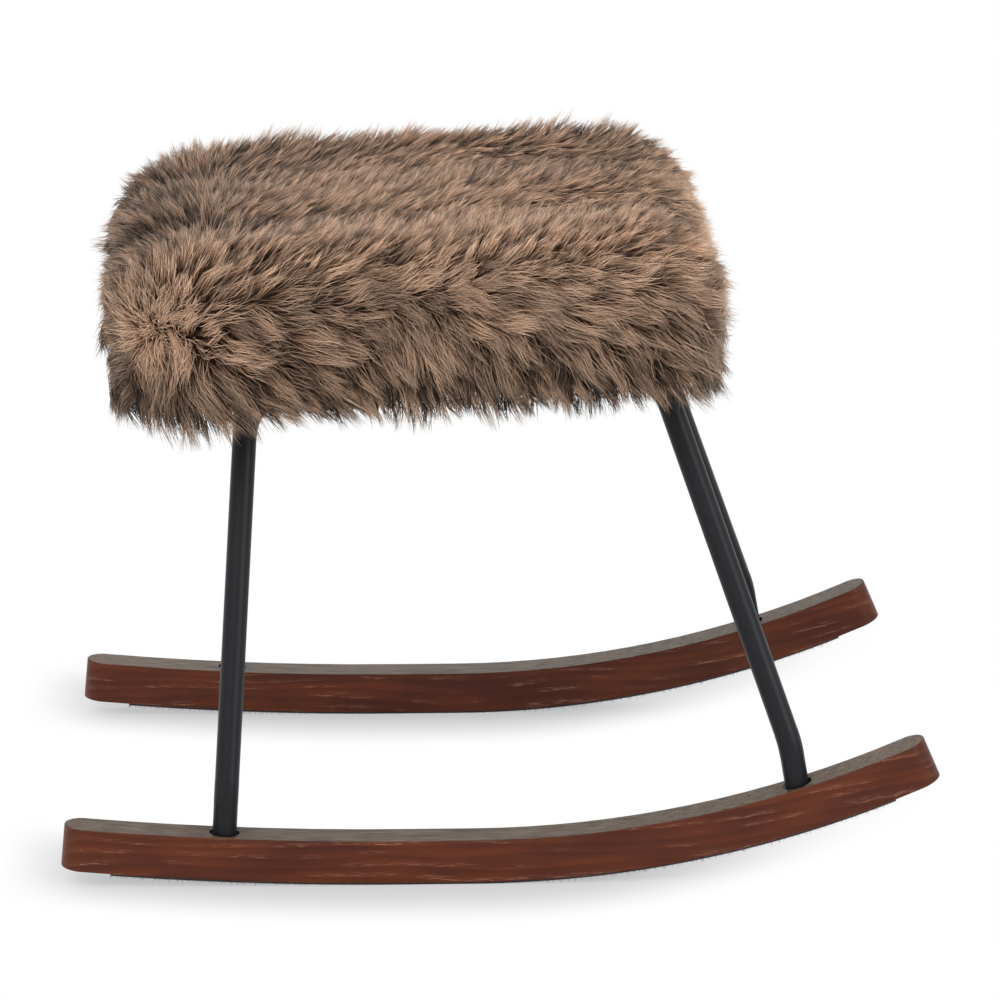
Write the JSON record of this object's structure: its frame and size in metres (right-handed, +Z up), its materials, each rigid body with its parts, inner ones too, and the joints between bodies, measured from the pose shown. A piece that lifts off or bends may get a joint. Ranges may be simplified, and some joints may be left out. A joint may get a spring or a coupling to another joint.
{
  "type": "rocking footstool",
  "caption": "Rocking footstool with curved wooden rockers, bent black tube side frames and a long-pile fur cushion.",
  "frame": {"origin": "on the floor, under the middle of the rockers' length and halfway between the two rockers", "axes": "+X forward along the rockers, to the end that curves up most; +Y to the left side; +Z up"},
  "size_m": [0.581, 0.426, 0.4372],
  "materials": {
    "stained_ash": "open-grained ash in a red-brown stain under satin lacquer",
    "black_felt": "dense pressed wool felt, blue-black",
    "satin_black_steel": "satin black powder coat on steel tube",
    "black_nylon": "moulded black nylon",
    "zinc_steel": "bright zinc plate",
    "birch_plywood": "unfinished birch plywood",
    "upholstery_foam": "open-cell cream foam",
    "long_pile_fur": "long-pile taupe-brown fur",
    "black_nonwoven": "black spun-bonded fabric"
  },
  "bodies": {
    "root": {"rocker_right": "stained_ash", "rocker_left": "stained_ash", "felt_strip_right": "black_felt", "felt_strip_left": "black_felt", "side_frame_right": "satin_black_steel", "side_frame_left": "satin_black_steel", "cross_tube_rear": "satin_black_steel", "cross_tube_front": "satin_black_steel", "leg_bushes": "black_nylon", "leg_plugs": "zinc_steel", "rocker_bolts": "zinc_steel", "rocker_washers": "zinc_steel", "mounting_tabs": "satin_black_steel", "seat_screws": "zinc_steel", "seat_washers": "zinc_steel", "t_nuts": "zinc_steel", "seat_board": "birch_plywood", "foam_pad": "upholstery_foam", "fur_cover": "long_pile_fur", "dust_cover": "black_nonwoven", "staples": "zinc_steel"}
  },
  "joints": []
}
